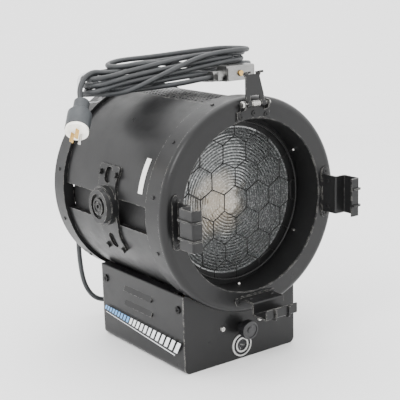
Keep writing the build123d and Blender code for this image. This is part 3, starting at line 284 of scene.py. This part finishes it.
def lens_material():
    """Pressed glass: bright ribs, a stippled back drawn as painted glints, and a painted warm glow that
    stands in for light off the lamp.
    """
    s = Shader("lens_glass", (0.5, 0.5, 0.49), 0.12, 0.0, IOR=1.5, Specular_IOR_Level=0.9,
               Coat_Weight=0.6, Coat_Roughness=0.05)
    x, z = s.axis(0), s.axis(2)
    far = s.math("SQRT", s.math("ADD",
                 s.math("POWER", s.math("ADD", x, 0.030), 2.0),
                 s.math("POWER", s.math("SUBTRACT", z, AXIS_Z - 0.004), 2.0)))
    # painted light: a warm glow round an off-centre point of the lens, painted into the colour; noise
    # wobbles its edge
    painted_glow_wobble = s.ramp(s.noise(30.0, 3.0), 0.3, 0.7, -0.012, 0.012)
    painted_lamp_glow = s.ramp(s.math("ADD", far, painted_glow_wobble), 0.062, 0.020)
    # painted highlights: bright silver glints on the stipples over darker glass, painted into the colour
    painted_stipple_glints = s.ramp(s.voronoi(260.0), 0.05, 0.5)
    silver = s.mix(painted_stipple_glints, (0.40, 0.41, 0.41), (0.13, 0.135, 0.135))
    s.colour(s.mix(s.math("MULTIPLY", painted_lamp_glow, 0.55), silver, (0.30, 0.235, 0.15)))
    s.bsdf.inputs["Metallic"].default_value = 0.35
    s.bump(s.voronoi(330.0, "SMOOTH_F1"), 0.0005, 0.5)
    return s.material


def tie_material():
    """Clear plastic with a slight ripple."""
    s = Shader("clear_tie", (0.86, 0.87, 0.88), 0.28, 0.0, IOR=1.46, Transmission_Weight=0.35,
               Specular_IOR_Level=0.7)
    s.bump(s.noise(90.0, 4.0, 0.6), 0.0012, 0.8)
    return s.material


SLOT_MATERIALS["badge"] = badge_material()
SLOT_MATERIALS["lens_glass"] = lens_material()
SLOT_MATERIALS["clear_tie"] = tie_material()



def pins_material():
    """Brass blades beside a nickel-plated ground pin."""
    s = Shader("plug_pins", BRASS, 0.25, 1.0)
    # the ground pin lies below the blades along the plug's own up direction
    lifted = s.math("MULTIPLY", s.axis(0), -0.800)
    lifted = s.math("ADD", lifted, s.math("MULTIPLY", s.axis(1), 0.117))
    lifted = s.math("ADD", lifted, s.math("MULTIPLY", s.axis(2), 0.586))
    ground = s.ramp(lifted, 0.4119, 0.4115)
    s.colour(s.mix(ground, BRASS, (0.55, 0.55, 0.54)))
    s.roughness(s.ramp(s.noise(140.0, 4.0, 0.7), 0.3, 0.7, 0.2, 0.4))
    return s.material


def base_screws_material():
    """Nickel screws on the front wall and blackened ones on the side covers."""
    s = Shader("base_screws", NICKEL, 0.24, 1.0)
    aside = s.ramp(s.math("ABSOLUTE", s.axis(0)), 0.095, 0.100)
    s.colour(s.mix(aside, NICKEL, (0.012, 0.012, 0.012)))
    s.roughness(s.ramp(s.noise(140.0, 4.0, 0.7), 0.3, 0.7, 0.2, 0.4))
    return s.material


# Nodes that look different from the rest of their slot.
OWN_MATERIALS = {
    "plug_blades": pins_material(),
    "rim_screws": SLOT_MATERIALS["black_screw"],
    "base_screws": base_screws_material(),
}

for part in frame["record"]["subparts"]:
    node = frame["nodes"][part["node"]]
    node.data.materials.clear()
    usual = SLOT_MATERIALS[part["material_slot"]]
    node.data.materials.append(OWN_MATERIALS.get(part["node"], usual))


# ------------------------------------------------------------------ mesh helpers
def add_mesh(name, bm, slot, material=None, smooth=True):
    """Turn a bmesh into a piece that rides on the housing and takes a slot's finish."""
    bmesh.ops.recalc_face_normals(bm, faces=bm.faces)
    mesh = bpy.data.meshes.new(name)
    bm.to_mesh(mesh)
    bm.free()
    mesh.materials.append(material or SLOT_MATERIALS[slot])
    for face in mesh.polygons:
        face.use_smooth = smooth
    piece = bpy.data.objects.new(name, mesh)
    bpy.context.scene.collection.objects.link(piece)
    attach(piece, "housing")
    return piece


def frame_about(axis):
    """Two unit vectors square to an axis and to each other."""
    axis = Vector(axis).normalized()
    across = axis.cross(Vector((0, 0, 1)) if abs(axis.z) < 0.9 else Vector((1, 0, 0))).normalized()
    return across, axis.cross(across)


def skin(bm, rings, closed=False):
    """Join rings of vertices with quads; closed also joins the last ring to the first."""
    count = len(rings)
    for k in range(count if closed else count - 1):
        lower, upper = rings[k], rings[(k + 1) % count]
        if len(lower) == 1 and len(upper) == 1:
            continue
        sides = max(len(lower), len(upper))
        for i in range(sides):
            j = (i + 1) % sides
            if len(lower) == 1:
                bm.faces.new((lower[0], upper[j], upper[i]))
            elif len(upper) == 1:
                bm.faces.new((lower[i], lower[j], upper[0]))
            else:
                bm.faces.new((lower[i], lower[j], upper[j], upper[i]))


def lathe(bm, profile, origin, axis, sides=48, closed=False):
    """Revolve (radius, distance along the axis) pairs."""
    across, up = frame_about(axis)
    axis, origin = Vector(axis).normalized(), Vector(origin)
    rings = []
    for radius, along in profile:
        centre = origin + axis * along
        if radius == 0:
            rings.append([bm.verts.new(centre)])
            continue
        turn = [2 * math.pi * i / sides for i in range(sides)]
        rings.append([
            bm.verts.new(centre + (across * math.cos(t) + up * math.sin(t)) * radius) for t in turn
        ])
    skin(bm, rings, closed)


def wire(bm, points, radius, sides=10, closed=False):
    """A round wire along points, with flat ends where it is open."""
    points = [Vector(p) for p in points]
    count = len(points)
    rings = []
    guide = None
    for i, point in enumerate(points):
        before = points[i - 1] if (i or closed) else point
        after = points[(i + 1) % count] if (i < count - 1 or closed) else point
        along = (after - before).normalized()
        if guide is None:
            guide = frame_about(along)[0]
        across = (guide - along * guide.dot(along)).normalized()
        up = along.cross(across)
        guide = across
        rings.append([
            bm.verts.new(point + (across * math.cos(2 * math.pi * k / sides)
                                  + up * math.sin(2 * math.pi * k / sides)) * radius)
            for k in range(sides)
        ])
    skin(bm, rings, closed)
    if not closed:
        bm.faces.new(reversed(rings[0]))
        bm.faces.new(rings[-1])


# ------------------------------------------------------------------ cord, in millimetres
# The way from the gland up the back, over the drum and into the hank; out of the hank to the
# switch box; out of the box and back; and out of the tie to the plug.
RISE = (
    (-20, 143, 42), (-20, 168, 42), (-29, 195, 36), (-50, 213, 27), (-81, 220, 33), (-103, 219, 63),
    (-112, 217, 105), (-116, 213, 160), (-113, 208, 225), (-103, 204, 295), (-86, 202, 360),
    (-66, 200, 415), (-42, 190, 456), (-8, 166, 480), (30, 136, 488), (68, 109, 491), (98, 104, 497),
)
LEAD = ((-98, 88, 447), (-68, 66, 449), (-36, 45, 453), (0, 30, 456), (30, 22, 460), (58, 20, 462.5))
RETURN = ((107, 20, 460), (129, 41, 453), (129, 72, 449), (107, 95, 448), (88, 96, 450))
DROP = ((-132, 57, 484), (-163, 56, 489), (-187, 51, 468), (-192, 40, 442), (-201, 30, 431))

# Height of the hank's lowest and highest strand along X: a strand's level is its share between.
LOWEST = ((-165, 444.5), (-110, 448), (-50, 452), (10, 455), (70, 460), (130, 467), (165, 471))
HIGHEST = ((-165, 477.5), (-110, 482), (-50, 489), (10, 494), (70, 499), (130, 501), (165, 500))
STATIONS = (-90, -10, 70)
# A fold's points about its centre: out along X, and across in Y.
FOLD = ((-12, 29), (12, 29), (29, 12), (29, -12), (12, -29), (-12, -29))


def between(line, x):
    """Height on a line of (x, z) points, held level past its ends."""
    for (x0, z0), (x1, z1) in zip(line, line[1:]):
        if x <= x1:
            return z0 + (z1 - z0) * max(0.0, (x - x0) / (x1 - x0))
    return line[-1][1]


def height(level, x):
    """Height at x of a strand whose level is its share of the way up the hank."""
    return between(LOWEST, x) + (between(HIGHEST, x) - between(LOWEST, x)) * level


def fold(x, y, end, way, first, last):
    """One fold: end is 1 at the right and -1 at the left, way is 1 from back to front."""
    steps = len(FOLD) - 1
    return [
        (x + end * out, y + way * across, height(first + (last - first) * i / steps, x + end * out))
        for i, (out, across) in enumerate(FOLD)
    ]


def strand(levels, sides, way=1):
    """One strand at the stations, given from left to right and run to the right if way is 1."""
    points = [(x, y, height(level, x)) for x, level, y in zip(STATIONS, levels, sides)]
    return points[::way]


HANK_FIRST = (
    fold(136, 73, 1, 1, 0.90, 0.90)
    + strand((1.0, 1.0, 1.0), (50, 57, 66), -1)
    + fold(-138, 70, -1, -1, 0.98, 0.98)
    + strand((0.98, 0.98, 0.84), (90, 86, 92))
    + fold(112, 73, 1, 1, 0.76, 0.76)
    + strand((0.76, 0.74, 0.72), (45, 51, 50), -1)
    + fold(-134, 67, -1, -1, 0.74, 0.46)
    + strand((0.50, 0.52, 0.54), (90, 88, 90))
    + fold(127, 66, 1, 1, 0.58, 0.58)
    + strand((0.52, 0.48, 0.50), (44, 47, 47), -1)
    + fold(-142, 68, -1, -1, 0.50, -0.06)
)
HANK_SECOND = (
    strand((0.74, 0.72, -0.08), (97, 94, 96), -1)
    + fold(-120, 75, -1, 1, 0.86, 0.25)
    + strand((0.28, 0.24, 0.18), (47, 49, 45))
    + fold(114, 70, 1, -1, -0.12, -0.10)
    + strand((0.26, 0.26, 0.12), (97, 92, 82), -1)
    + fold(-127, 74, -1, 1, 0.36, 0.06)
    + strand((0.17, 0.70, 1.0), (34, 38, 50))
    + fold(141, 66, 1, -1, 1.08, 1.08)
    + strand((1.1, 1.15, 1.1), (96, 104, 92), -1)[:2]
    + fold(-76, 86, -1, 1, 1.25, 1.2)
    + strand((1.0, 0.95, 0.45), (70, 68, 62))[1:]
    + fold(147, 70, 1, -1, 0.3, 0.0)
    + strand((0.95, 0.47, 0.14), (64, 104, 107), -1)
)
CORD_POINTS = [*RISE, *HANK_FIRST, *LEAD, *RETURN, *HANK_SECOND, *DROP]


def nurbs(name, points, radius):
    """A round cord whose centreline is one smooth spline with the given control points."""
    curve = bpy.data.curves.new(name, "CURVE")
    curve.dimensions = "3D"
    curve.bevel_depth = radius
    curve.bevel_resolution = 5
    curve.resolution_u = 10
    curve.use_fill_caps = True
    spline = curve.splines.new("NURBS")
    spline.points.add(len(points) - 1)
    for control, point in zip(spline.points, points):
        control.co = (point[0] / 1000, point[1] / 1000, point[2] / 1000, 1)
    spline.order_u = 3
    spline.use_endpoint_u = True
    return bpy.data.objects.new(name, curve)


cord = nurbs("mains_cord", CORD_POINTS, CORD_R)
bpy.context.scene.collection.objects.link(cord)
cord.data.materials.append(SLOT_MATERIALS["cord_rubber"])
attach(cord, "housing")
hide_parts("cord_rise", "cord_switch_lead", "cord_switch_return", "cord_drop", "cord_hank")


def strain_relief():
    """Tapered, ribbed rubber sleeve on the gland."""
    bm = bmesh.new()
    inner, ribs = CORD_R + 0.0001, 7
    profile = [(inner, 0.0), (0.0090, 0.0)]
    for k in range(ribs):
        start = 0.001 + k * 0.0036
        wide = 0.0090 - 0.0032 * k / ribs
        profile += [(wide, start), (wide, start + 0.0022), (wide - 0.0012, start + 0.0026),
                    (wide - 0.0012, start + 0.0034)]
    profile += [(0.0056, 0.0268), (inner, 0.0272)]
    start_at = Vector(GLAND_TIP) - Vector((0, 0.0005, 0))
    lathe(bm, profile, start_at, (0, 1, 0), 32, closed=True)
    return add_mesh("strain_relief", bm, "cord_rubber", smooth=False)


def hank_tie():
    """Loose translucent strap through the eye of the folds and round their left end."""
    bm = bmesh.new()
    low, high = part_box("hank_tie")
    middle = (low + high) / 2
    half_x, half_z = (high.x - low.x) / 2 - 0.0009, (high.z - low.z) / 2 - 0.0009
    rings = []
    steps = 96
    for i in range(steps):
        t = 2 * math.pi * i / steps
        c, s = math.cos(t), math.sin(t)
        x = half_x * math.copysign(abs(c) ** 0.42, c)
        z = half_z * math.copysign(abs(s) ** 0.42, s) + 0.0035 * (x / half_x) * max(0.0, s)
        wave = 0.0010 * math.sin(4 * t + 0.6)
        normal = Vector((c, 0, s)).normalized()
        centre = middle + Vector((x, wave, z - 0.0030 * max(0.0, s)))
        half_y, half_t = 0.0038, 0.0006
        rings.append([
            bm.verts.new(centre + Vector((0, across * half_y, 0)) + normal * out * half_t)
            for across, out in ((-1, -1), (-1, 1), (0, 1.5), (1, 1), (1, -1), (0, -1))
        ])
    skin(bm, rings, closed=True)
    piece = add_mesh("hank_strap", bm, "clear_tie")
    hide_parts("hank_tie")
    return piece


relief = strain_relief()
strap = hank_tie()


# ------------------------------------------------------------------ lens
def lens():
    """Fresnel lens: a domed centre and prism rings on the front, flat behind."""
    bm = bmesh.new()
    low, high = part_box("fresnel_lens")
    outer = (high.x - low.x) / 2
    front = low.y + 0.0003
    back = high.y
    dome = 0.026
    profile = [(0.0, 0.0)]
    for k in range(1, 7):
        radius = dome * k / 6
        profile.append((radius, 0.0052 * (k / 6) ** 2))
    rings = 19
    pitch = (outer - 0.006 - dome) / rings
    for k in range(rings):
        inside = dome + k * pitch
        depth = 0.0030 + 0.0022 * k / rings
        profile.append((inside + 0.0002, 0.0008))
        profile.append((inside + pitch * 0.35, 0.0013))
        profile.append((inside + pitch * 0.70, 0.0008 + depth * 0.55))
        profile.append((inside + pitch * 0.97, 0.0008 + depth))
    profile += [(outer - 0.0055, 0.0006), (outer - 0.001, 0.0006), (outer, 0.0016), (outer, back - front),
                (0.0, back - front)]
    lathe(bm, profile, (0, front, AXIS_Z), (0, 1, 0), 160)
    piece = add_mesh("lens", bm, "lens_glass", smooth=False)
    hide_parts("fresnel_lens")


lens()


# ------------------------------------------------------------------ wire guard
def guard():
    """Hexagonal mesh of round wire, bent a little here and there, in a wire ring."""
    bm = bmesh.new()
    low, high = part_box("wire_guard")
    plane = (low.y + high.y) / 2
    ring_r, wire_r, side = 0.1325, 0.0009, 0.0275
    corners, edges = {}, set()
    step_x, step_z = side * math.sqrt(3), side * 1.5
    for row in range(-4, 5):
        for column in range(-4, 5):
            cx = step_x * (column + (row % 2) / 2)
            cz = step_z * row
            keys = []
            for k in range(6):
                t = math.radians(30 + 60 * k)
                point = (cx + side * math.cos(t), cz + side * math.sin(t))
                key = (round(point[0] * 1e4), round(point[1] * 1e4))
                corners.setdefault(key, point)
                keys.append(key)
            for a, b in zip(keys, keys[1:] + keys[:1]):
                edges.add((min(a, b), max(a, b)))
    moved = {
        key: (x + RNG.uniform(-0.0009, 0.0009), z + RNG.uniform(-0.0009, 0.0009),
              plane + RNG.uniform(-0.0003, 0.0003))
        for key, (x, z) in sorted(corners.items())
    }

    def inside(point):
        return math.hypot(point[0], point[1]) < ring_r

    for a, b in sorted(edges):
        start, end = moved[a], moved[b]
        if not (inside(start) or inside(end)):
            continue
        if not inside(start):
            start, end = end, start
        share = 1.0
        while math.hypot(start[0] + (end[0] - start[0]) * share,
                         start[1] + (end[1] - start[1]) * share) > ring_r:
            share -= 0.02
        points = []
        for i in range(5):
            f = share * i / 4
            bow = 0.0004 * math.sin(math.pi * i / 4)
            points.append((start[0] + (end[0] - start[0]) * f,
                           start[2] + (end[2] - start[2]) * f - bow,
                           AXIS_Z + start[1] + (end[1] - start[1]) * f))
        wire(bm, points, wire_r, 8)
    for point in moved.values():
        if inside(point):
            weld = Matrix.Translation((point[0], point[2], AXIS_Z + point[1]))
            bmesh.ops.create_icosphere(bm, subdivisions=2, radius=wire_r * 1.25, matrix=weld)
    hoop = []
    for i in range(120):
        t = 2 * math.pi * i / 120
        hoop.append((ring_r * math.cos(t), plane, AXIS_Z + ring_r * math.sin(t)))
    wire(bm, hoop, 0.0015, 10, closed=True)
    piece = add_mesh("guard_mesh", bm, "matt_black", material=SLOT_MATERIALS["black_screw"])
    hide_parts("wire_guard")


guard()


# ------------------------------------------------------------------ decals
LABEL_THICKNESS = 0.00035


def patch(name, corners, material, slot):
    """A thin flat label through four corners, given anticlockwise from outside."""
    bm = bmesh.new()
    points = [Vector(c) for c in corners]
    normal = (points[1] - points[0]).cross(points[2] - points[1]).normalized()
    front = [bm.verts.new(p + normal * LABEL_THICKNESS) for p in points]
    back = [bm.verts.new(p) for p in points]
    bm.faces.new(front)
    bm.faces.new(reversed(back))
    for i in range(len(points)):
        j = (i + 1) % len(points)
        bm.faces.new((back[i], back[j], front[j], front[i]))
    add_mesh(name, bm, slot, material, smooth=False)


def vinyl(name, colour):
    """Thin printed label, worn in small patches."""
    s = Shader(name, colour, 0.35)
    worn = s.ramp(s.noise(120.0, 5.0, 0.7), 0.62, 0.68)
    s.colour(s.mix(worn, colour, tuple(c * 0.45 for c in colour)))
    s.bump(s.noise(300.0), 0.00005, 0.6)
    return s.material


def side_stripes():
    """Slanted bars of rising height along the left cover's lower edge, over a thin line."""
    white, blue = vinyl("vinyl_white", (0.78, 0.80, 0.82)), vinyl("vinyl_blue", (0.10, 0.30, 0.60))
    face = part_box("side_cover_left")[0].x
    rear, front = 0.116, -0.112
    y = rear
    k = 0
    while y > front:
        share = (rear - y) / (rear - front)
        tall = 0.008 + 0.013 * share
        base = 0.052 - 0.018 * share
        wide = 0.0048 + 0.0052 * share
        slant = 0.60 * tall
        top = base + tall
        corners = (
            (face, y - wide - slant, top),
            (face, y - slant, top),
            (face, y, base),
            (face, y - wide, base),
        )
        patch(f"stripe_{k}", corners, blue if share < 0.34 else white, "plug_face")
        y -= wide + 0.0030 + 0.0024 * share
        k += 1
    line = ((face, 0.112, 0.047), (face, -0.104, 0.029), (face, -0.104, 0.0305), (face, 0.112, 0.0478))
    patch("stripe_line", line, white, "plug_face")


side_stripes()


def drum_label():
    """Blank white label bent round the drum just behind the front seam."""
    bm = bmesh.new()
    steps = 8
    first_angle, turned = 149, 19.5
    rings = []
    for radius in (DRUM_R + 0.0003, DRUM_R + 0.0007):
        rows = []
        for i in range(steps + 1):
            t = math.radians(first_angle + turned * i / steps)
            x, z = radius * math.cos(t), AXIS_Z + radius * math.sin(t)
            rows.append([bm.verts.new((x, y, z)) for y in (-0.094, -0.082)])
        rings.append(rows)
    for rows in rings:
        for a, b in zip(rows, rows[1:]):
            bm.faces.new((a[0], a[1], b[1], b[0]))
    inner, outer = rings
    for a, b, c, d in zip(inner, inner[1:], outer, outer[1:]):
        bm.faces.new((a[0], b[0], d[0], c[0]))
        bm.faces.new((a[1], c[1], d[1], b[1]))
    for k in (0, -1):
        bm.faces.new((inner[k][0], inner[k][1], outer[k][1], outer[k][0]))
    add_mesh("drum_label", bm, "plug_face", vinyl("label_white", (0.72, 0.72, 0.70)), smooth=False)


drum_label()


# ------------------------------------------------------------------ studio
def studio():
    """Pale floor that sweeps up into a back wall, an even sky and three soft lamps."""
    floor_mesh = bpy.data.meshes.new("floor")
    bm = bmesh.new()
    size, rise, radius, steps = 4.0, 3.5, 0.8, 12
    profile = [(-size, 0.0)]
    depth = 1.9
    for i in range(steps + 1):
        t = math.pi / 2 * i / steps
        profile.append((depth + radius * math.sin(t), radius - radius * math.cos(t)))
    profile.append((depth + radius, rise))
    away = Vector((-math.sin(VIEW_YAW), math.cos(VIEW_YAW), 0))
    aside = Vector((math.cos(VIEW_YAW), math.sin(VIEW_YAW), 0))
    rows = []
    for d, z in profile:
        middle = away * d + Vector((0, 0, z))
        rows.append([bm.verts.new(middle + aside * side) for side in (-size, size)])
    for a, b in zip(rows, rows[1:]):
        bm.faces.new((a[0], a[1], b[1], b[0]))
    bm.to_mesh(floor_mesh)
    bm.free()
    s = Shader("floor", (0.88, 0.88, 0.88), 0.65)
    s.roughness(s.ramp(s.noise(3.0), 0.3, 0.7, 0.6, 0.7))
    floor_mesh.materials.append(s.material)
    floor = bpy.data.objects.new("floor", floor_mesh)
    bpy.context.scene.collection.objects.link(floor)

    world = bpy.data.worlds.new("world")
    world.use_nodes = True
    world.node_tree.nodes["Background"].inputs["Color"].default_value = (1, 1, 1, 1)
    world.node_tree.nodes["Background"].inputs["Strength"].default_value = 2.6
    bpy.context.scene.world = world

    for name, place, size_m, power in (
        ("key", (-1.9, -0.7, 2.0), 1.0, 38.0),
        ("fill", (1.9, -1.6, 1.3), 1.6, 5.0),
        ("top", (0.1, 0.5, 2.4), 1.8, 26.0),
    ):
        data = bpy.data.lights.new(name, "AREA")
        data.energy = power
        data.size = size_m
        light = bpy.data.objects.new(name, data)
        light.location = place
        light.rotation_mode = "QUATERNION"
        light.rotation_quaternion = (Vector((0, 0, 0.24)) - Vector(place)).to_track_quat("-Z", "Y")
        bpy.context.scene.collection.objects.link(light)


studio()
